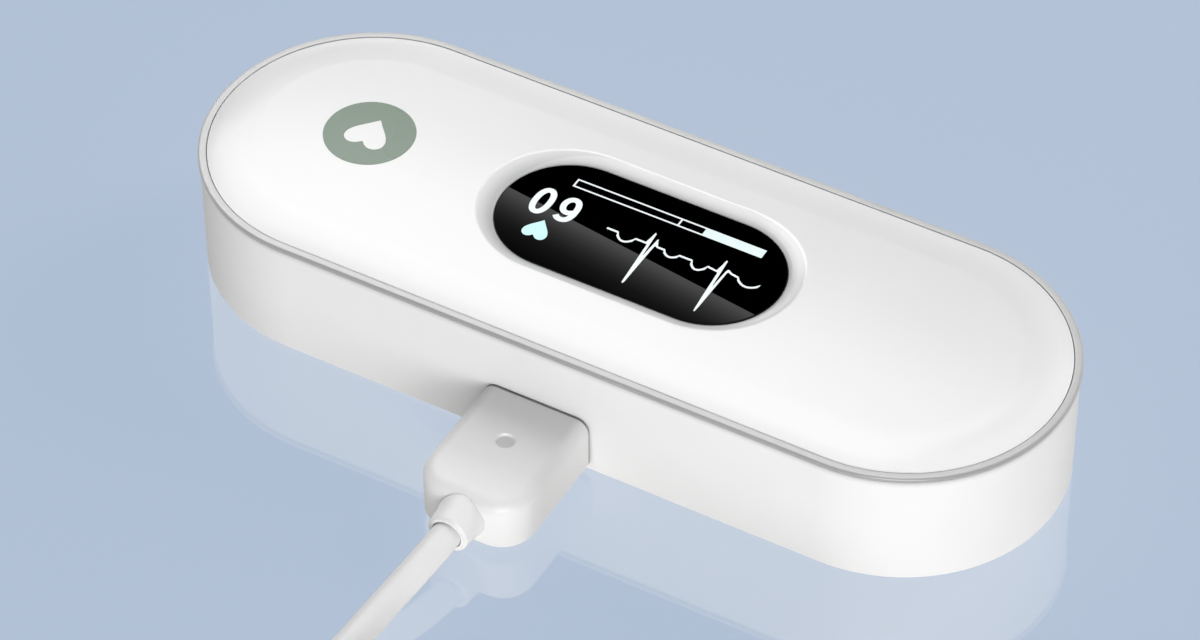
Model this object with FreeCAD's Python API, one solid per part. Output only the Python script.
import FreeCAD, Part
import math
import os

# A pocket ECG monitor for home use, with its charging lead plugged in. Millimetres.
# Frame: +X along the body towards its right end, +Y towards the side with the button, +Z up.
# The lead leaves towards -Y. The origin is the middle of the body's flat underside.

# ---- Body ----
BODY_LENGTH = 94.2
BODY_WIDTH = 34.2
END_RADIUS = BODY_WIDTH / 2
HALF_STRAIGHT = BODY_LENGTH / 2 - END_RADIUS

WALL = 1.6
BASE = 1.6
INNER_RADIUS = END_RADIUS - WALL
SHELL_TOP = 13.25
SHELL_FOOT_RADIUS = 0.4
SHELL_RIM_RADIUS = 0.12
LEDGE = 12.2
RIM_WALL = 0.35
FIT_GAP = 0.05
# How far a cutting tool runs past the face that it cuts.
PAST = 1.0
# How far a piece is sunk into the one that it is fused with.
SUNK = 0.1
TOUCH = 0.01

RING_OVERHANG = 0.2
RING_INSET = 0.66
RING_BOTTOM = 13.46
RING_TOP = 13.86
RING_FOOT_TOP = 12.95
RING_FOOT_INSET = 0.2
RING_BEAD = 0.27
RING_UNDERSIDE = 0.1
SEAL_HEIGHT = 0.4
SEAL_GAP = 0.15

COVER_EDGE = 13.8
COVER_GAP = 0.07
COVER_RADIUS = END_RADIUS - RING_INSET - COVER_GAP
CROWN_RADIUS = 180.0
CROWN_REACH = 11.5
SHOULDER_RADIUS = 12.9
COVER_CAVITY_TOP = 13.5
COVER_CAVITY_RADIUS = 14.2
SKIRT_BOTTOM = 11.6

# ---- Screws, as thread, head and recess radii ----
CASE_SCREW = (39.0, 8.0)
CASE_SCREW_RADIUS = 0.83
CASE_SCREW_HEAD = (1.55, 1.75, 2.9)
CASE_SCREW_WELL = 1.8
CASE_SCREW_BORE = 1.0
CASE_SCREW_TIP = 11.5
CASE_PILOT_TOP = 12.3
CASE_BOSS_RADIUS = 2.7
COVER_BOSS_RADIUS = 2.0
BOSS_SPLIT = 7.0
BOARD_SCREW = (32.0, 10.5)
BOARD_SCREW_RADIUS = 0.6
BOARD_SCREW_HEAD = (1.3, 0.8)
BOARD_SCREW_TIP = 2.6
STANDOFF_RADIUS = 2.0
PILOT_GAP = 0.02
DRIVE_HALF_WIDTH = 0.17

# ---- Display window ----
WINDOW_X = 1.0
WINDOW_HALF = 7.97
WINDOW_RADIUS = 7.5
WINDOW_TOP = 14.6
WINDOW_BOTTOM = 13.5
WINDOW_RIM = 0.12
ADHESIVE = 0.1
LEDGE_WIDTH = 0.6
LEDGE_THICK = 0.6
COLLAR_WALL = 1.05

# The recess round the glass in section: how far out from the glass's seat, and how far up from
# its top. A steeper foot, then an even slope that meets the crown in a small lip.
RECESS_FOOT = (0.0, -0.1)
RECESS_KNEE = (0.35, 0.15)
RECESS_SLOPE = 0.5
RECESS_LIP = 0.5

PANEL_LENGTH = 34.5
PANEL_WIDTH = 23.0
PANEL_THICK = 1.4
PANEL_SHELF = 3.0
PANEL_TOP = WINDOW_BOTTOM - ADHESIVE - LEDGE_THICK
PANEL_BOTTOM = PANEL_TOP - PANEL_THICK
FRAME_GAP = 0.1
FRAME_RIM = (1.85, 1.1)
FRAME_BOTTOM = 11.15
FRAME_LIP = 1.0
FLEX_Y = (-5.0, 3.0)
FLEX_THICK = 0.12
FLEX_X = 22.0
FLEX_BEND = 0.6

# ---- Circuit board and what is on it ----
BOARD_X = 35.0
BOARD_Y = 13.5
BOARD_CORNER = 3.0
BOARD_BOTTOM = 5.53
BOARD_TOP = 6.53
BATTERY_X = (-23.0, 21.0)
BATTERY_Y = (-12.0, 9.0)
BATTERY_TOP = 11.05
BATTERY_ROUNDING = 1.2
TAPE_THICK = 0.25
TAPE_INSET = (5.0, 3.0)
LEAD_WIRE = 0.7

# ---- Electrodes under the body ----
ELECTRODE_X = 27.0
ELECTRODE_RADIUS = 10.0
ELECTRODE_THICK = 0.6
ELECTRODE_EDGE = 0.1
REFERENCE_HALF = 4.5
REFERENCE_RADIUS = 4.0
STUD_RADIUS = 1.5
STUD_TOP = 1.9
PIN_TIP_RADIUS = 0.45
PIN_BARREL_RADIUS = 0.8
PIN_SHOULDER = 3.0

# ---- USB-C socket and plug ----
SOCKET_X = -0.8
SOCKET_Z = 3.95
SOCKET_MOUTH_Y = -16.6
SOCKET_BACK_Y = -9.1
SOCKET_WIDE = 8.94
SOCKET_HIGH = 3.16
SOCKET_WALL = 0.25
SOCKET_SEAT = 0.17
TONGUE_WIDE = 6.69
TONGUE_THICK = 0.7
TONGUE_LONG = 4.45
PLUG_WIDE = 8.34
PLUG_HIGH = 2.56
PLUG_WALL = 0.3
PLUG_REACH = 6.65
PLUG_ROOTED = 3.0
PLUG_SEAT = 0.02

GRIP_WIDE = 11.7
GRIP_HIGH = 5.7
GRIP_LONG = 14.3
GRIP_GAP = 0.2
GRIP_NOSE = 3.5
GRIP_TOP_EDGE = 1.4
GRIP_LOW_EDGE = 0.2
DIMPLE_RADIUS = 1.02
DIMPLE_FLOOR_RADIUS = 0.87
DIMPLE_DEPTH = 0.3
DIMPLE_FROM_WALL = 6.2

# ---- Lead ----
CABLE_DIAMETER = 3.0
RELIEF_BASE_RADIUS = 2.45
RELIEF_END_RADIUS = 2.15
RELIEF_LONG = 2.95
RELIEF_ROOT = 0.6
RELIEF_MOUTH = 0.4
RELIEF_ENGAGED = 0.25
RELIEF_FLARE = 0.3
RELIEF_LIP = 0.25
RELIEF_WAIST = 0.06
COIL_CENTRE = (10.1, -79.0)
COIL_RADIUS = 18.0
COIL_LIFT = 0.5
COIL_TURN_PITCH = 3.1
COIL_LAYER_PITCH = 3.0
COIL_SLACK = 0.2
COIL_TURNS_HALF_WIDTH = COIL_TURN_PITCH + CABLE_DIAMETER / 2 + COIL_SLACK
TIE_ANGLE = 205.0
TIE_THICK = 0.5
TIE_WIDE = 8.0
TIE_ROUNDING = 1.2

USB_A_X = 43.0
USB_A_REAR_Y = -73.5
USB_A_GRIP = (15.0, 20.0, 7.8)
USB_A_SHELL = (12.0, 12.0, 4.5)
USB_A_WALL = 0.3
USB_A_EMBEDDED = 4.0
USB_A_FRONT_Y = USB_A_REAR_Y + USB_A_GRIP[1]
USB_A_SHELL_BOTTOM = (USB_A_GRIP[2] - USB_A_SHELL[2]) / 2

# ---- Side button ----
BUTTON_X = WINDOW_X
BUTTON_Z = 7.5
BUTTON_HALF = 3.1
BUTTON_RADIUS = 1.7
BUTTON_PROUD = 0.35
BUTTON_GAP = 0.12
BUTTON_FLANGE = 0.8
BUTTON_ROUNDING = 0.3
BUTTON_REAR_Y = 14.3
FLANGE_Y = (14.5, 15.0)
GASKET_Y = 15.05
SWITCH_FRONT_Y = 13.6

# The lead's route: out of the plug, down to the table, into the coil, and out to the far plug.
GRIP_FRONT_Y = -END_RADIUS - GRIP_GAP
GRIP_NOSE_Y = GRIP_FRONT_Y - GRIP_LONG
RELIEF_END_Y = GRIP_NOSE_Y - RELIEF_LONG
CABLE_START_Y = RELIEF_END_Y + RELIEF_ENGAGED
CABLE_ROUTE = [
    (SOCKET_X, CABLE_START_Y, SOCKET_Z),
    (-1.05, -38.4, 3.64),
    (-2.3, -44.9, 2.1),
    (-2.9, -52.6, 1.52),
    (-5.9, -62.6, 1.52),
    (-9.73, -71.78, 2.0),
]
TAIL_ROUTE = [
    (10.1, -100.1, 5.0),
    (19.3, -100.3, 4.0),
    (29.0, -97.4, 2.6),
    (37.0, -90.4, 2.0),
    (42.0, -81.6, 3.2),
    (USB_A_X, USB_A_REAR_Y, USB_A_GRIP[2] / 2),
]

Y_AXIS = FreeCAD.Vector(0, 1, 0)
Z_AXIS = FreeCAD.Vector(0, 0, 1)


# ---- Shape helpers ----
def vec(x, y, z):
    return FreeCAD.Vector(x, y, z)


def block(x0, x1, y0, y1, z0, z1):
    return Part.makeBox(x1 - x0, y1 - y0, z1 - z0, vec(x0, y0, z0))


def centred_block(x, wide_x, wide_y, z0, z1, y=0.0):
    return block(x - wide_x / 2, x + wide_x / 2, y - wide_y / 2, y + wide_y / 2, z0, z1)


def post(x, y, radius, z0, z1):
    return Part.makeCylinder(radius, z1 - z0, vec(x, y, z0))


def pill(x, y, half, radius, z0, z1):
    """An upright pill-shaped plate, long in X."""
    middle = block(x - half, x + half, y - radius, y + radius, z0, z1)
    ends = [post(x + side * half, y, radius, z0, z1) for side in (-1, 1)]
    return middle.fuse(ends).removeSplitter()


def pill_in_wall(x, z, half, radius, y0, y1):
    """A pill-shaped bar that runs along Y, long in X."""
    middle = block(x - half, x + half, y0, y1, z - radius, z + radius)
    ends = [
        Part.makeCylinder(radius, y1 - y0, vec(x + side * half, y0, z), Y_AXIS)
        for side in (-1, 1)
    ]
    return middle.fuse(ends).removeSplitter()


def usb_c_bar(wide, high, y0, y1):
    """A bar along Y on the socket's axis, with fully round sides."""
    return pill_in_wall(SOCKET_X, SOCKET_Z, (wide - high) / 2, high / 2, y0, y1)


def section(points):
    """A face in the Y-Z plane from straight edges."""
    corners = [vec(0, y, z) for y, z in points]
    return Part.Face(Part.makePolygon(corners + corners[:1]))


def round_the_body(face, half=HALF_STRAIGHT, centre_x=0.0):
    """Carry a half section, drawn at y >= 0, once round a pill outline."""
    start = face.copy()
    start.translate(vec(centre_x - half, 0, 0))
    finish = face.copy()
    finish.translate(vec(centre_x + half, 0, 0))
    rear = start.extrude(vec(2 * half, 0, 0))
    front = rear.mirror(vec(0, 0, 0), Y_AXIS)
    left = start.revolve(vec(centre_x - half, 0, 0), Z_AXIS, 180)
    right = finish.revolve(vec(centre_x + half, 0, 0), Z_AXIS, -180)
    return rear.fuse([front, left, right]).removeSplitter()


def round_the_window(points):
    """Carry a section round the glass's outline."""
    return round_the_body(section(points), WINDOW_HALF, WINDOW_X)


def edges_where(shape, test):
    """The edges of a shape whose bounding box passes the test."""
    return [edge for edge in shape.Edges if test(edge.BoundBox)]


def y_reach(box):
    return max(abs(box.YMin), abs(box.YMax))


def four(place):
    """A place mirrored into all four quadrants."""
    x, y = place
    return [(sx * x, sy * y) for sx in (-1, 1) for sy in (-1, 1)]


def upright_rounding(shape, radius):
    upright = edges_where(shape, lambda box: box.ZLength > 0.9 * shape.BoundBox.ZLength)
    return shape.makeFillet(radius, upright)


def arc_joint(before, corner, after):
    """Where a route's arc at a corner starts, its middle and end, and its radius."""
    back = before.sub(corner)
    ahead = after.sub(corner)
    half_turn = (math.pi - back.getAngle(ahead)) / 2
    trim = 0.45 * min(back.Length, ahead.Length)
    radius = trim / math.tan(half_turn)
    back.normalize()
    ahead.normalize()
    inward = back.add(ahead)
    inward.normalize()
    centre = corner.add(inward.multiply(radius / math.cos(half_turn)))
    towards = corner.sub(centre)
    towards.normalize()
    middle = centre.add(towards.multiply(radius))
    return corner.add(back.multiply(trim)), middle, corner.add(ahead.multiply(trim)), radius


def round_tube(name, route, diameter):
    """A tube on straight runs joined by tangent arcs."""
    places = [vec(*place) for place in route]
    edges = []
    radii = []
    at = places[0]
    for before, corner, after in zip(places, places[1:], places[2:]):
        start, middle, finish, radius = arc_joint(before, corner, after)
        edges.append(Part.LineSegment(at, start).toShape())
        edges.append(Part.Arc(start, middle, finish).toShape())
        radii.append(radius)
        at = finish
    edges.append(Part.LineSegment(at, places[-1]).toShape())
    path = Part.Wire(edges)
    heading = places[1].sub(places[0])
    ring = Part.Wire(Part.makeCircle(diameter / 2, places[0], heading))
    tube = path.makePipeShell([ring], True, False)
    straight_volume = math.pi * diameter**2 / 4 * path.Length
    print(
        f"{name}: {path.Length:.1f} mm long, radii {[round(r, 1) for r in radii]},"
        f" volume {tube.Volume / straight_volume:.4f} of section times length"
    )
    return tube


# ---- Case ----
def lower_shell():
    """The tub: wall, base, bosses, and the openings for socket, button, studs and screws."""
    tub = pill(0, 0, HALF_STRAIGHT, END_RADIUS, 0, SHELL_TOP)
    foot = edges_where(tub, lambda box: box.ZMax < TOUCH)
    tub = tub.makeFillet(SHELL_FOOT_RADIUS, foot)
    rim = edges_where(tub, lambda box: box.ZMin > SHELL_TOP - TOUCH)
    tub = tub.makeFillet(SHELL_RIM_RADIUS, rim)
    tub = tub.cut(pill(0, 0, HALF_STRAIGHT, INNER_RADIUS, BASE, SHELL_TOP + PAST))
    tub = tub.cut(pill(0, 0, HALF_STRAIGHT, END_RADIUS - RIM_WALL, LEDGE, SHELL_TOP + PAST))

    bosses = [
        post(x, y, CASE_BOSS_RADIUS, BASE - SUNK, BOSS_SPLIT) for x, y in four(CASE_SCREW)
    ]
    bosses += [
        post(x, y, STANDOFF_RADIUS, BASE - SUNK, BOARD_BOTTOM) for x, y in four(BOARD_SCREW)
    ]
    tub = tub.fuse(bosses)

    head_top = CASE_SCREW_HEAD[2]
    pilot_bottom = BOARD_SCREW_TIP - FIT_GAP
    holes = []
    for x, y in four(CASE_SCREW):
        holes.append(post(x, y, CASE_SCREW_WELL, -PAST, head_top))
        holes.append(post(x, y, CASE_SCREW_BORE, 0, BOSS_SPLIT + PAST))
    for x, y in four(BOARD_SCREW):
        holes.append(
            post(x, y, BOARD_SCREW_RADIUS + PILOT_GAP, pilot_bottom, BOARD_BOTTOM + PAST)
        )
    pocket = ELECTRODE_RADIUS + FIT_GAP
    holes += [post(side * ELECTRODE_X, 0, pocket, -PAST, ELECTRODE_THICK) for side in (-1, 1)]
    reference_pocket = REFERENCE_RADIUS + FIT_GAP
    holes.append(pill(WINDOW_X, 0, REFERENCE_HALF, reference_pocket, -PAST, ELECTRODE_THICK))
    for x in (-ELECTRODE_X, WINDOW_X, ELECTRODE_X):
        holes.append(post(x, 0, STUD_RADIUS + FIT_GAP, -PAST, BASE + PAST))
    holes.append(
        usb_c_bar(
            SOCKET_WIDE + 2 * SOCKET_SEAT,
            SOCKET_HIGH + 2 * SOCKET_SEAT,
            -END_RADIUS - PAST,
            -INNER_RADIUS + PAST,
        )
    )
    slot_radius = BUTTON_RADIUS + BUTTON_GAP
    holes.append(
        pill_in_wall(
            BUTTON_X, BUTTON_Z, BUTTON_HALF, slot_radius, INNER_RADIUS - PAST, END_RADIUS + PAST
        )
    )
    return tub.cut(holes)


def crown_section():
    """Half of the cover's section above the seam: a low crown that rolls off at its shoulder."""
    crown_turn = math.asin(CROWN_REACH / CROWN_RADIUS)
    edge_turn = math.asin((COVER_RADIUS - CROWN_REACH) / SHOULDER_RADIUS + math.sin(crown_turn))
    crown_drop = CROWN_RADIUS * (1 - math.cos(crown_turn))
    shoulder_drop = SHOULDER_RADIUS * (math.cos(crown_turn) - math.cos(edge_turn))
    crown = COVER_EDGE + crown_drop + shoulder_drop

    def on_crown(turn):
        return vec(0, CROWN_RADIUS * math.sin(turn), crown - CROWN_RADIUS * (1 - math.cos(turn)))

    def on_shoulder(turn):
        y = CROWN_REACH + SHOULDER_RADIUS * (math.sin(turn) - math.sin(crown_turn))
        drop = SHOULDER_RADIUS * (math.cos(crown_turn) - math.cos(turn))
        return vec(0, y, crown - crown_drop - drop)

    top = vec(0, 0, crown)
    shoulder_start = on_crown(crown_turn)
    edge = vec(0, COVER_RADIUS, COVER_EDGE)
    under_edge = vec(0, COVER_RADIUS, RING_FOOT_TOP)
    under_middle = vec(0, 0, RING_FOOT_TOP)
    half_section = Part.Wire(
        [
            Part.Arc(top, on_crown(crown_turn / 2), shoulder_start).toShape(),
            Part.Arc(shoulder_start, on_shoulder((crown_turn + edge_turn) / 2), edge).toShape(),
            Part.LineSegment(edge, under_edge).toShape(),
            Part.LineSegment(under_edge, under_middle).toShape(),
            Part.LineSegment(under_middle, top).toShape(),
        ]
    )
    return Part.Face(half_section), crown


def cut_recess(cover, crown):
    """Sink the sloping recess round the window into the crown, and soften its lip."""
    seat = WINDOW_RADIUS + FIT_GAP
    foot, knee = [(seat + out, WINDOW_TOP + up) for out, up in (RECESS_FOOT, RECESS_KNEE)]
    above = crown + PAST
    reach = knee[0] + (above - knee[1]) / RECESS_SLOPE
    cover = cover.cut(round_the_window([(0, foot[1]), foot, knee, (reach, above), (0, above)]))
    lip_reach = WINDOW_HALF + reach
    lip = edges_where(
        cover,
        lambda box: box.ZMin > knee[1] + TOUCH
        and abs(box.XMin - WINDOW_X) < lip_reach
        and abs(box.XMax - WINDOW_X) < lip_reach
        and y_reach(box) < reach,
    )
    return cover.makeFillet(RECESS_LIP, lip)


def top_cover():
    """The white lid, with its recess, its skirt inside the shell, and its screw bosses."""
    half_section, crown = crown_section()
    cover = cut_recess(round_the_body(half_section), crown)

    skirt_top = RING_FOOT_TOP + SUNK
    skirt = pill(0, 0, HALF_STRAIGHT, INNER_RADIUS - FIT_GAP, SKIRT_BOTTOM, skirt_top)
    cavity = pill(
        0, 0, HALF_STRAIGHT, COVER_CAVITY_RADIUS, SKIRT_BOTTOM - PAST, COVER_CAVITY_TOP
    )
    cover = cover.fuse(skirt).cut(cavity)

    roof = COVER_CAVITY_TOP + SUNK
    additions = [pill(WINDOW_X, 0, WINDOW_HALF, WINDOW_RADIUS + COLLAR_WALL, PANEL_TOP, roof)]
    additions += [
        post(x, y, COVER_BOSS_RADIUS, BOSS_SPLIT + 2 * FIT_GAP, roof)
        for x, y in four(CASE_SCREW)
    ]
    cover = cover.fuse(additions)

    above = crown + PAST
    seat = WINDOW_RADIUS + FIT_GAP
    cuts = [
        pill(WINDOW_X, 0, WINDOW_HALF, seat, WINDOW_BOTTOM - ADHESIVE, above),
        pill(WINDOW_X, 0, WINDOW_HALF, WINDOW_RADIUS - LEDGE_WIDTH, PANEL_TOP - PAST, above),
    ]
    pilot = CASE_SCREW_RADIUS + PILOT_GAP
    cuts += [post(x, y, pilot, BOSS_SPLIT, CASE_PILOT_TOP) for x, y in four(CASE_SCREW)]
    return cover.cut(cuts).removeSplitter()


def trim_ring():
    """The bright ring between shell and cover, with a rounded bead that overhangs the wall."""
    bead_outside = END_RADIUS + RING_OVERHANG
    neck_outside = END_RADIUS - RIM_WALL - FIT_GAP
    neck_inside = END_RADIUS - RING_INSET
    foot_inside = INNER_RADIUS + RING_FOOT_INSET
    foot_bottom = LEDGE + SEAL_HEIGHT
    ring = round_the_body(
        section(
            [
                (neck_inside, RING_TOP),
                (bead_outside, RING_TOP),
                (bead_outside, RING_BOTTOM),
                (neck_outside, RING_BOTTOM),
                (neck_outside, foot_bottom),
                (foot_inside, foot_bottom),
                (foot_inside, RING_FOOT_TOP),
                (neck_inside, RING_FOOT_TOP),
            ]
        )
    )
    bead = edges_where(
        ring, lambda box: box.ZMin > RING_TOP - TOUCH and y_reach(box) > bead_outside - TOUCH
    )
    ring = ring.makeFillet(RING_BEAD, bead)
    underside = edges_where(
        ring,
        lambda box: abs(box.ZMax - RING_BOTTOM) < TOUCH
        and box.ZLength < TOUCH
        and y_reach(box) > bead_outside - TOUCH,
    )
    return ring.makeFillet(RING_UNDERSIDE, underside)


def case_seal():
    """The flat silicone gasket that the ring presses on the shell's ledge."""
    outside = END_RADIUS - RIM_WALL - SEAL_GAP
    inside = INNER_RADIUS + RING_FOOT_INSET
    seal_top = LEDGE + SEAL_HEIGHT
    return round_the_body(
        section([(inside, LEDGE), (outside, LEDGE), (outside, seal_top), (inside, seal_top)])
    )


def case_screws():
    """Four cross-slotted screws, driven from below into the cover's bosses."""
    head_radius, head_bottom, head_top = CASE_SCREW_HEAD
    slot_half = 0.9
    slot_top = head_bottom + 0.55
    screws = []
    for x, y in four(CASE_SCREW):
        head = post(x, y, head_radius, head_bottom, head_top)
        shank = post(x, y, CASE_SCREW_RADIUS, head_top, CASE_SCREW_TIP)
        slots = [
            centred_block(x, 2 * half_x, 2 * half_y, head_bottom - PAST, slot_top, y)
            for half_x, half_y in ((slot_half, DRIVE_HALF_WIDTH), (DRIVE_HALF_WIDTH, slot_half))
        ]
        screws.append(head.fuse(shank).cut(slots))
    return Part.makeCompound(screws)


# ---- Display ----
def display_window():
    """The black glass pill, set in its recess."""
    glass = pill(WINDOW_X, 0, WINDOW_HALF, WINDOW_RADIUS, WINDOW_BOTTOM, WINDOW_TOP)
    rim = edges_where(glass, lambda box: box.ZMin > WINDOW_TOP - TOUCH)
    return glass.makeFillet(WINDOW_RIM, rim)


def window_adhesive():
    """The thin gasket tape that holds the glass on its ledge."""
    tape_bottom = WINDOW_BOTTOM - ADHESIVE
    tape = pill(
        WINDOW_X, 0, WINDOW_HALF, WINDOW_RADIUS - FIT_GAP, tape_bottom, WINDOW_BOTTOM
    )
    opening = pill(
        WINDOW_X,
        0,
        WINDOW_HALF,
        WINDOW_RADIUS - LEDGE_WIDTH,
        tape_bottom - PAST,
        WINDOW_BOTTOM + PAST,
    )
    return tape.cut(opening)


def oled_panel():
    """A 1.3 inch display cell: cover glass on a longer back glass that carries the driver."""
    middle = PANEL_TOP - PANEL_THICK / 2
    front_glass = centred_block(
        WINDOW_X - PANEL_SHELF / 2, PANEL_LENGTH - PANEL_SHELF, PANEL_WIDTH, middle, PANEL_TOP
    )
    back_glass = centred_block(WINDOW_X, PANEL_LENGTH, PANEL_WIDTH, PANEL_BOTTOM, middle)
    return front_glass.fuse(back_glass)


def display_frame():
    """The tray round the display that hangs from the cover, notched for the flex."""
    rim_x, rim_y = FRAME_RIM
    tray = centred_block(
        WINDOW_X,
        PANEL_LENGTH + 2 * rim_x,
        PANEL_WIDTH + 2 * rim_y,
        FRAME_BOTTOM,
        COVER_CAVITY_TOP,
    )
    pocket = centred_block(
        WINDOW_X,
        PANEL_LENGTH + 2 * FRAME_GAP,
        PANEL_WIDTH + 2 * FRAME_GAP,
        PANEL_BOTTOM,
        COVER_CAVITY_TOP + PAST,
    )
    opening = centred_block(
        WINDOW_X,
        PANEL_LENGTH - 2 * FRAME_LIP,
        PANEL_WIDTH - 2 * FRAME_LIP,
        FRAME_BOTTOM - PAST,
        PANEL_TOP,
    )
    panel_end = WINDOW_X + PANEL_LENGTH / 2
    notch_gap = 0.5
    flex_notch = block(
        panel_end - 1.5,
        panel_end + rim_x + PAST,
        FLEX_Y[0] - notch_gap,
        FLEX_Y[1] + notch_gap,
        FRAME_BOTTOM - PAST,
        PANEL_TOP - 0.4,
    )
    return upright_rounding(tray, 1.5).cut([pocket, opening, flex_notch])


def flat_ribbon(route, thick, y0, y1, bend):
    """A thin strip that follows a route of (x, z) places with rounded bends."""
    corners = [vec(x, y0, z) for x, z in route]
    edges = []
    at = corners[0]
    for before, corner, after in zip(corners, corners[1:], corners[2:]):
        back = before.sub(corner).normalize()
        ahead = after.sub(corner).normalize()
        half_turn = (math.pi - back.getAngle(ahead)) / 2
        trim = bend * math.tan(half_turn)
        inward = back.add(ahead).normalize()
        start = corner.add(FreeCAD.Vector(back).multiply(trim))
        finish = corner.add(FreeCAD.Vector(ahead).multiply(trim))
        outset = bend / math.cos(half_turn) - bend
        middle = corner.add(inward.multiply(outset))
        edges.append(Part.LineSegment(at, start).toShape())
        edges.append(Part.Arc(start, middle, finish).toShape())
        at = finish
    edges.append(Part.LineSegment(at, corners[-1]).toShape())
    x, z = route[0]
    low, high = z - thick / 2, z + thick / 2
    end = Part.makePolygon(
        [vec(x, y0, low), vec(x, y1, low), vec(x, y1, high), vec(x, y0, high), vec(x, y0, low)]
    )
    return Part.Wire(edges).makePipeShell([end], True, False)


def oled_flex():
    """The display's ribbon, from the back glass down to its connector on the board."""
    panel_end = WINDOW_X + PANEL_LENGTH / 2
    high = PANEL_BOTTOM + PANEL_THICK / 4
    low = BOARD_TOP + 0.55
    route = [(panel_end, high), (FLEX_X, high), (FLEX_X, low), (FLEX_X + 1, low)]
    return flat_ribbon(route, FLEX_THICK, *FLEX_Y, FLEX_BEND)


def display_connector():
    """The socket on the board that takes the display's ribbon."""
    housing = block(
        FLEX_X + 1, FLEX_X + 4, FLEX_Y[0] - 1, FLEX_Y[1] + 1, BOARD_TOP, BOARD_TOP + 1.1
    )
    mouth = block(
        FLEX_X,
        FLEX_X + 3,
        FLEX_Y[0] - SUNK,
        FLEX_Y[1] + SUNK,
        BOARD_TOP + 0.47,
        BOARD_TOP + 0.63,
    )
    return housing.cut(mouth)


# ---- Electronics ----
def main_pcb():
    board = block(-BOARD_X, BOARD_X, -BOARD_Y, BOARD_Y, BOARD_BOTTOM, BOARD_TOP)
    board = upright_rounding(board, BOARD_CORNER)
    clearance = BOARD_SCREW_RADIUS + 0.25
    holes = [
        post(x, y, clearance, BOARD_BOTTOM - PAST, BOARD_TOP + PAST)
        for x, y in four(BOARD_SCREW)
    ]
    return board.cut(holes)


def pcb_screws():
    """Four slotted screws that hold the board on its standoffs."""
    head_radius, head_high = BOARD_SCREW_HEAD
    head_top = BOARD_TOP + head_high
    screws = []
    for x, y in four(BOARD_SCREW):
        head = post(x, y, head_radius, BOARD_TOP, head_top)
        shank = post(x, y, BOARD_SCREW_RADIUS, BOARD_SCREW_TIP, BOARD_TOP)
        slot = centred_block(
            x, 1.6, 2 * DRIVE_HALF_WIDTH, head_top - head_high / 2, head_top + PAST, y
        )
        screws.append(head.fuse(shank).cut(slot))
    return Part.makeCompound(screws)


def battery_cell():
    """A lithium pouch, rounded along its long sides."""
    pouch = block(*BATTERY_X, *BATTERY_Y, BOARD_TOP + TAPE_THICK, BATTERY_TOP)
    along = edges_where(pouch, lambda box: box.XLength > BATTERY_X[1] - BATTERY_X[0] - PAST)
    return pouch.makeFillet(BATTERY_ROUNDING, along)


def battery_tape():
    """The foam tape between board and pouch."""
    inset_x, inset_y = TAPE_INSET
    return block(
        BATTERY_X[0] + inset_x,
        BATTERY_X[1] - inset_x,
        BATTERY_Y[0] + inset_y,
        BATTERY_Y[1] - inset_y,
        BOARD_TOP,
        BOARD_TOP + TAPE_THICK,
    )


def battery_connector():
    """A small two-way header with its mouth towards the pouch."""
    x0, x1 = 23.0, 28.0
    y0, y1 = 7.0, 12.0
    housing = block(x0, x1, y0, y1, BOARD_TOP, BOARD_TOP + 2.4)
    mouth = block(x0 - PAST, x0 + 0.6, y0 + 0.8, y1 - 0.8, BOARD_TOP + 0.5, BOARD_TOP + 1.9)
    return housing.cut(mouth)


def battery_leads():
    """Two thin wires from the pouch's end to the connector."""
    leads = []
    for start_y, finish_y in ((4.6, 8.7), (6.4, 10.3)):
        route = [
            (21.0, start_y, 9.65),
            (21.8, start_y, 9.65),
            (22.3, (start_y + finish_y) / 2, 8.75),
            (22.5, finish_y - 0.5, 7.95),
            (23.4, finish_y, 7.7),
        ]
        leads.append(round_tube("battery lead", route, LEAD_WIRE))
    return Part.makeCompound(leads)


def afe_shield_can():
    """The pressed screen over the heart signal's amplifier, open towards the board."""
    x, wide_x, wide_y = -29.5, 9.0, 13.0
    sheet = 0.2
    top = BOARD_TOP + 2.2
    can = upright_rounding(centred_block(x, wide_x, wide_y, BOARD_TOP, top), 0.5)
    hollow = centred_block(
        x, wide_x - 2 * sheet, wide_y - 2 * sheet, BOARD_TOP - PAST, top - sheet
    )
    return can.cut(hollow)


def chip(x, y, wide_x, wide_y, high, on_top):
    """A package on the board's top or underside, with its pin-one dimple."""
    dimple_inset, dimple_radius, dimple_deep = 0.8, 0.3, 0.05
    base = BOARD_TOP if on_top else BOARD_BOTTOM - high
    face = base + high if on_top else base
    body = centred_block(x, wide_x, wide_y, base, base + high, y)
    dimple_x = x - wide_x / 2 + dimple_inset
    dimple_y = y + wide_y / 2 - dimple_inset
    return body.cut(
        post(dimple_x, dimple_y, dimple_radius, face - dimple_deep, face + dimple_deep)
    )


def electrode_contacts():
    """Three sprung pins that press the board's inputs on to the electrode studs."""
    pins = []
    for x in (-ELECTRODE_X, WINDOW_X, ELECTRODE_X):
        barrel = post(x, 0, PIN_BARREL_RADIUS, PIN_SHOULDER, BOARD_BOTTOM)
        tip = post(x, 0, PIN_TIP_RADIUS, STUD_TOP, PIN_SHOULDER)
        pins.append(barrel.fuse(tip))
    return Part.makeCompound(pins)


def with_stud(plate, x):
    soft_edge = edges_where(plate, lambda box: box.ZMax < TOUCH)
    plate = plate.makeFillet(ELECTRODE_EDGE, soft_edge)
    return plate.fuse(post(x, 0, STUD_RADIUS, ELECTRODE_THICK - SUNK, STUD_TOP))


def end_electrode(side):
    """A polished disc, flush with the underside, for one hand."""
    x = side * ELECTRODE_X
    return with_stud(post(x, 0, ELECTRODE_RADIUS, 0, ELECTRODE_THICK), x)


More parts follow.
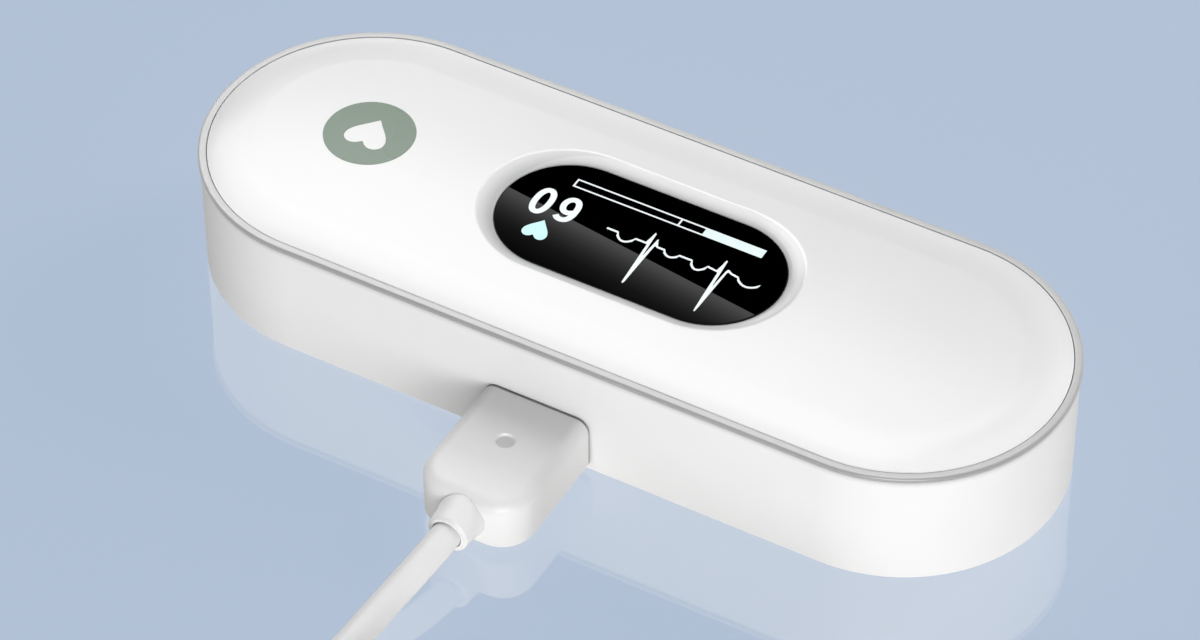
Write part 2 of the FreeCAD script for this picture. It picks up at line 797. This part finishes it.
def reference_electrode():
    plate = pill(WINDOW_X, 0, REFERENCE_HALF, REFERENCE_RADIUS, 0, ELECTRODE_THICK)
    return with_stud(plate, WINDOW_X)


# ---- USB-C socket in the case ----
SOCKET_BORE = (SOCKET_WIDE - 2 * SOCKET_WALL, SOCKET_HIGH - 2 * SOCKET_WALL)
SOCKET_FLOOR_Y = SOCKET_BACK_Y - 0.3
TONGUE_ROOT_Y = SOCKET_FLOOR_Y - 1.0


def usb_receptacle_shell():
    outside = usb_c_bar(SOCKET_WIDE, SOCKET_HIGH, SOCKET_MOUTH_Y, SOCKET_BACK_Y)
    return outside.cut(usb_c_bar(*SOCKET_BORE, SOCKET_MOUTH_Y - PAST, SOCKET_FLOOR_Y))


def usb_receptacle_tongue():
    """The insulator at the back of the socket, with the tongue that carries the contacts."""
    back = usb_c_bar(*SOCKET_BORE, TONGUE_ROOT_Y, SOCKET_FLOOR_Y)
    half_wide = TONGUE_WIDE / 2
    half_thick = TONGUE_THICK / 2
    tongue = block(
        SOCKET_X - half_wide,
        SOCKET_X + half_wide,
        TONGUE_ROOT_Y - TONGUE_LONG,
        TONGUE_ROOT_Y + SUNK,
        SOCKET_Z - half_thick,
        SOCKET_Z + half_thick,
    )
    return back.fuse(tongue)


# ---- Plug and lead ----
def rounded_grip(x, wide, y_end, y_face, z_middle, high, nose, top_edge, low_edge):
    """A plug's grip: square at its face, with a rounded nose and soft long edges."""
    grip = block(
        x - wide / 2, x + wide / 2, y_end, y_face, z_middle - high / 2, z_middle + high / 2
    )
    corners = edges_where(grip, lambda box: box.ZLength > high / 2 and box.YMax < y_end + TOUCH)
    grip = grip.makeFillet(nose, corners)
    for edge, at_top in ((top_edge, True), (low_edge, False)):
        outline = edges_where(
            grip,
            lambda box: box.ZLength < TOUCH
            and box.YMin < y_face - TOUCH
            and (box.ZMin > z_middle) == at_top,
        )
        grip = grip.makeFillet(edge, outline)
    return grip


def plug_overmould():
    """The grip of the charging plug, with a dimple on top."""
    grip = rounded_grip(
        SOCKET_X,
        GRIP_WIDE,
        GRIP_NOSE_Y,
        GRIP_FRONT_Y,
        SOCKET_Z,
        GRIP_HIGH,
        GRIP_NOSE,
        GRIP_TOP_EDGE,
        GRIP_LOW_EDGE,
    )
    top = SOCKET_Z + GRIP_HIGH / 2
    dimple = Part.makeCone(
        DIMPLE_FLOOR_RADIUS,
        DIMPLE_RADIUS,
        DIMPLE_DEPTH,
        vec(SOCKET_X, -END_RADIUS - DIMPLE_FROM_WALL, top - DIMPLE_DEPTH),
    )
    shell_pocket = usb_c_bar(
        PLUG_WIDE + 2 * PLUG_SEAT,
        PLUG_HIGH + 2 * PLUG_SEAT,
        GRIP_FRONT_Y - PLUG_ROOTED,
        GRIP_FRONT_Y + PAST,
    )
    relief_socket = Part.makeCylinder(
        RELIEF_BASE_RADIUS + PLUG_SEAT,
        RELIEF_ROOT + PAST,
        vec(SOCKET_X, GRIP_NOSE_Y - PAST, SOCKET_Z),
        Y_AXIS,
    )
    return grip.cut([dimple, shell_pocket, relief_socket])


PLUG_BORE = (PLUG_WIDE - 2 * PLUG_WALL, PLUG_HIGH - 2 * PLUG_WALL)
PLUG_ROOT_Y = GRIP_FRONT_Y - PLUG_ROOTED
PLUG_TIP_Y = GRIP_FRONT_Y + PLUG_REACH


def plug_shell():
    outside = usb_c_bar(PLUG_WIDE, PLUG_HIGH, PLUG_ROOT_Y, PLUG_TIP_Y)
    return outside.cut(usb_c_bar(*PLUG_BORE, PLUG_ROOT_Y - PAST, PLUG_TIP_Y + PAST))


def plug_contacts():
    """The plug's insert: a block with a slot that takes the socket's tongue."""
    insert = usb_c_bar(*PLUG_BORE, PLUG_ROOT_Y, PLUG_TIP_Y - 0.4)
    half_wide = TONGUE_WIDE / 2 + 2 * FIT_GAP
    half_thick = TONGUE_THICK / 2 + FIT_GAP
    slot = block(
        SOCKET_X - half_wide,
        SOCKET_X + half_wide,
        GRIP_FRONT_Y + 1,
        PLUG_TIP_Y + PAST,
        SOCKET_Z - half_thick,
        SOCKET_Z + half_thick,
    )
    return insert.cut(slot)


def strain_relief():
    """The short flared collar at the plug's nose."""
    root_y = GRIP_NOSE_Y + RELIEF_ROOT
    flare_y = GRIP_NOSE_Y - RELIEF_FLARE
    waist = vec(RELIEF_END_RADIUS + RELIEF_WAIST, (flare_y + RELIEF_END_Y) / 2, 0)
    corners = [
        vec(0, root_y, 0),
        vec(RELIEF_BASE_RADIUS, root_y, 0),
        vec(RELIEF_BASE_RADIUS, flare_y, 0),
        vec(RELIEF_END_RADIUS, RELIEF_END_Y + RELIEF_LIP, 0),
        vec(RELIEF_END_RADIUS - RELIEF_LIP, RELIEF_END_Y, 0),
        vec(0, RELIEF_END_Y, 0),
    ]
    edges = [
        Part.LineSegment(corners[0], corners[1]).toShape(),
        Part.LineSegment(corners[1], corners[2]).toShape(),
        Part.Arc(corners[2], waist, corners[3]).toShape(),
        Part.LineSegment(corners[3], corners[4]).toShape(),
        Part.LineSegment(corners[4], corners[5]).toShape(),
        Part.LineSegment(corners[5], corners[0]).toShape(),
    ]
    collar = Part.Face(Part.Wire(edges)).revolve(vec(0, 0, 0), Y_AXIS, 360)
    mouth = Part.makeCylinder(
        CABLE_DIAMETER / 2 + SUNK,
        RELIEF_MOUTH + PAST,
        vec(0, RELIEF_END_Y - PAST, 0),
        Y_AXIS,
    )
    collar = collar.cut(mouth)
    collar.translate(vec(SOCKET_X, 0, SOCKET_Z))
    return collar


def lead_coil():
    """The outer shape of the tied coil: three turns wide and two turns high."""
    top = COIL_LIFT + CABLE_DIAMETER + COIL_LAYER_PITCH + COIL_SLACK
    outer = COIL_RADIUS + COIL_TURNS_HALF_WIDTH
    inner = COIL_RADIUS - COIL_TURNS_HALF_WIDTH
    ring = post(*COIL_CENTRE, outer, COIL_LIFT, top)
    ring = ring.cut(post(*COIL_CENTRE, inner, COIL_LIFT - PAST, top + PAST))
    rims = edges_where(ring, lambda box: box.ZLength < TOUCH)
    return ring.makeFillet(CABLE_DIAMETER / 2, rims)


def coil_tie():
    """A silicone strap once round the bundle of turns."""
    top = COIL_LIFT + CABLE_DIAMETER + COIL_LAYER_PITCH + 1.5 * COIL_SLACK
    half_tie = TIE_WIDE / 2
    clear = 0.1
    bundle_inner = COIL_RADIUS - COIL_TURNS_HALF_WIDTH
    inner = math.sqrt(bundle_inner**2 - half_tie**2) - clear
    outer = COIL_RADIUS + COIL_TURNS_HALF_WIDTH + clear
    strap = block(inner - TIE_THICK, outer + TIE_THICK, -half_tie, half_tie, 0, top + TIE_THICK)
    along = edges_where(strap, lambda box: box.YLength > half_tie)
    strap = strap.makeFillet(TIE_ROUNDING, along)
    hole = block(inner, outer, -TIE_WIDE, TIE_WIDE, TIE_THICK - PILOT_GAP, top)
    strap = strap.cut(hole)
    strap.rotate(vec(0, 0, 0), Z_AXIS, TIE_ANGLE)
    strap.translate(vec(*COIL_CENTRE, 0))
    return strap


def usb_a_overmould():
    wide, _, high = USB_A_GRIP
    shell_wide, _, shell_high = USB_A_SHELL
    grip = rounded_grip(
        USB_A_X,
        wide,
        USB_A_REAR_Y,
        USB_A_FRONT_Y,
        high / 2,
        high,
        nose=4.0,
        top_edge=1.5,
        low_edge=1.5,
    )
    pocket = block(
        USB_A_X - shell_wide / 2 - PLUG_SEAT,
        USB_A_X + shell_wide / 2 + PLUG_SEAT,
        USB_A_FRONT_Y - USB_A_EMBEDDED,
        USB_A_FRONT_Y + PAST,
        USB_A_SHELL_BOTTOM - PLUG_SEAT,
        USB_A_SHELL_BOTTOM + shell_high + PLUG_SEAT,
    )
    return grip.cut(pocket)


def usb_a_box(inset, y0, y1, z0, z1):
    """A box across the far plug, inset from its shell's width."""
    half = USB_A_SHELL[0] / 2 - inset
    return block(USB_A_X - half, USB_A_X + half, y0, y1, z0, z1)


def usb_a_shell():
    reach, high = USB_A_SHELL[1:]
    low = USB_A_SHELL_BOTTOM
    root_y = USB_A_FRONT_Y - USB_A_EMBEDDED
    tip_y = USB_A_FRONT_Y + reach
    outside = usb_a_box(0, root_y, tip_y, low, low + high)
    inside = usb_a_box(
        USB_A_WALL, root_y - PAST, tip_y + PAST, low + USB_A_WALL, low + high - USB_A_WALL
    )
    latch_offset, latch_wide, latch_y, latch_long = 2.4, 2.2, 6.3, 2.2
    windows = [
        centred_block(
            USB_A_X + side * latch_offset,
            latch_wide,
            latch_long,
            low + high - PAST,
            low + high + PAST,
            USB_A_FRONT_Y + latch_y,
        )
        for side in (-1, 1)
    ]
    return outside.cut([inside] + windows)


def usb_a_insert():
    """The white insulator that carries the far plug's four contacts."""
    thick = 1.85
    groove_wide = 1.0
    low = USB_A_SHELL_BOTTOM + USB_A_WALL
    tip_y = USB_A_FRONT_Y + USB_A_SHELL[1]
    insert = usb_a_box(
        USB_A_WALL, USB_A_FRONT_Y - USB_A_EMBEDDED, tip_y - 0.8, low, low + thick
    )
    grooves = [
        block(
            USB_A_X + step - groove_wide / 2,
            USB_A_X + step + groove_wide / 2,
            USB_A_FRONT_Y + 1,
            tip_y,
            low + thick - 0.15,
            low + thick + PAST,
        )
        for step in (-3.5, -1.0, 1.0, 3.5)
    ]
    return insert.cut(grooves)


# ---- Side button ----
def side_button():
    """The pill key, its flange behind the wall, and the boss that reaches the switch."""
    face_y = END_RADIUS + BUTTON_PROUD
    key_y = FLANGE_Y[0] + SUNK
    key = pill_in_wall(BUTTON_X, BUTTON_Z, BUTTON_HALF, BUTTON_RADIUS, key_y, face_y)
    rim = edges_where(key, lambda box: box.YMin > face_y - TOUCH)
    key = key.makeFillet(BUTTON_ROUNDING, rim)
    flange = pill_in_wall(
        BUTTON_X, BUTTON_Z, BUTTON_HALF, BUTTON_RADIUS + BUTTON_FLANGE, *FLANGE_Y
    )
    boss = block(BUTTON_X - 1.6, BUTTON_X + 1.6, BUTTON_REAR_Y, key_y, BUTTON_Z - 1, BUTTON_Z + 1)
    return key.fuse([flange, boss])


def button_gasket():
    """The silicone washer between the key's flange and the wall."""
    outside = pill_in_wall(
        BUTTON_X, BUTTON_Z, BUTTON_HALF, BUTTON_RADIUS + BUTTON_FLANGE, GASKET_Y, INNER_RADIUS
    )
    hole = pill_in_wall(
        BUTTON_X,
        BUTTON_Z,
        BUTTON_HALF,
        BUTTON_RADIUS + FIT_GAP,
        GASKET_Y - PAST,
        INNER_RADIUS + PAST,
    )
    return outside.cut(hole)


PLUNGER = (2.5, 1.4, 12.5)


def tact_switch():
    """The side-pressed switch at the board's edge."""
    wide, high, rear_y = PLUNGER
    body = block(
        BUTTON_X - 3, BUTTON_X + 3, 9.8, SWITCH_FRONT_Y, BOARD_TOP, BOARD_TOP + 2.9
    )
    bore_half = wide / 2 + FIT_GAP
    bore_high = high / 2 + FIT_GAP
    bore = block(
        BUTTON_X - bore_half,
        BUTTON_X + bore_half,
        rear_y - 0.5,
        SWITCH_FRONT_Y + PAST,
        BUTTON_Z - bore_high,
        BUTTON_Z + bore_high,
    )
    return body.cut(bore)


def switch_plunger():
    wide, high, rear_y = PLUNGER
    return block(
        BUTTON_X - wide / 2,
        BUTTON_X + wide / 2,
        rear_y,
        BUTTON_REAR_Y,
        BUTTON_Z - high / 2,
        BUTTON_Z + high / 2,
    )


PARTS = {
    "lower_shell": lower_shell,
    "top_cover": top_cover,
    "trim_ring": trim_ring,
    "case_seal": case_seal,
    "case_screws": case_screws,
    "display_window": display_window,
    "window_adhesive": window_adhesive,
    "oled_panel": oled_panel,
    "display_frame": display_frame,
    "oled_flex": oled_flex,
    "main_pcb": main_pcb,
    "pcb_screws": pcb_screws,
    "battery_cell": battery_cell,
    "battery_tape": battery_tape,
    "battery_connector": battery_connector,
    "battery_leads": battery_leads,
    "afe_shield_can": afe_shield_can,
    "afe_chip": lambda: chip(-29.5, 0, 5, 5, 0.9, on_top=True),
    "bluetooth_module": lambda: chip(30.5, -2, 6.4, 9.0, 1.8, on_top=True),
    "microcontroller": lambda: chip(-13, 4, 7, 7, 0.9, on_top=False),
    "charger_chip": lambda: chip(12, -6, 3, 3, 0.8, on_top=False),
    "display_connector": display_connector,
    "electrode_contacts": electrode_contacts,
    "left_electrode": lambda: end_electrode(-1),
    "right_electrode": lambda: end_electrode(1),
    "reference_electrode": reference_electrode,
    "usb_receptacle_shell": usb_receptacle_shell,
    "usb_receptacle_tongue": usb_receptacle_tongue,
    "tact_switch": tact_switch,
    "button_gasket": button_gasket,
    "side_button": side_button,
    "switch_plunger": switch_plunger,
    "plug_overmould": plug_overmould,
    "plug_shell": plug_shell,
    "plug_contacts": plug_contacts,
    "strain_relief": strain_relief,
    "lead_cable": lambda: round_tube("lead_cable", CABLE_ROUTE, CABLE_DIAMETER),
    "lead_coil": lead_coil,
    "lead_tail": lambda: round_tube("lead_tail", TAIL_ROUTE, CABLE_DIAMETER),
    "coil_tie": coil_tie,
    "usb_a_overmould": usb_a_overmould,
    "usb_a_shell": usb_a_shell,
    "usb_a_insert": usb_a_insert,
}

os.makedirs("parts", exist_ok=True)
for name, make in PARTS.items():
    shape = make()
    sound = all(solid.isValid() and solid.isClosed() for solid in shape.Solids)
    print(f"{name}: {len(shape.Solids)} solid(s), {shape.Volume:.1f} mm3, sound {sound}")
    shape.exportStep(f"parts/{name}.step")
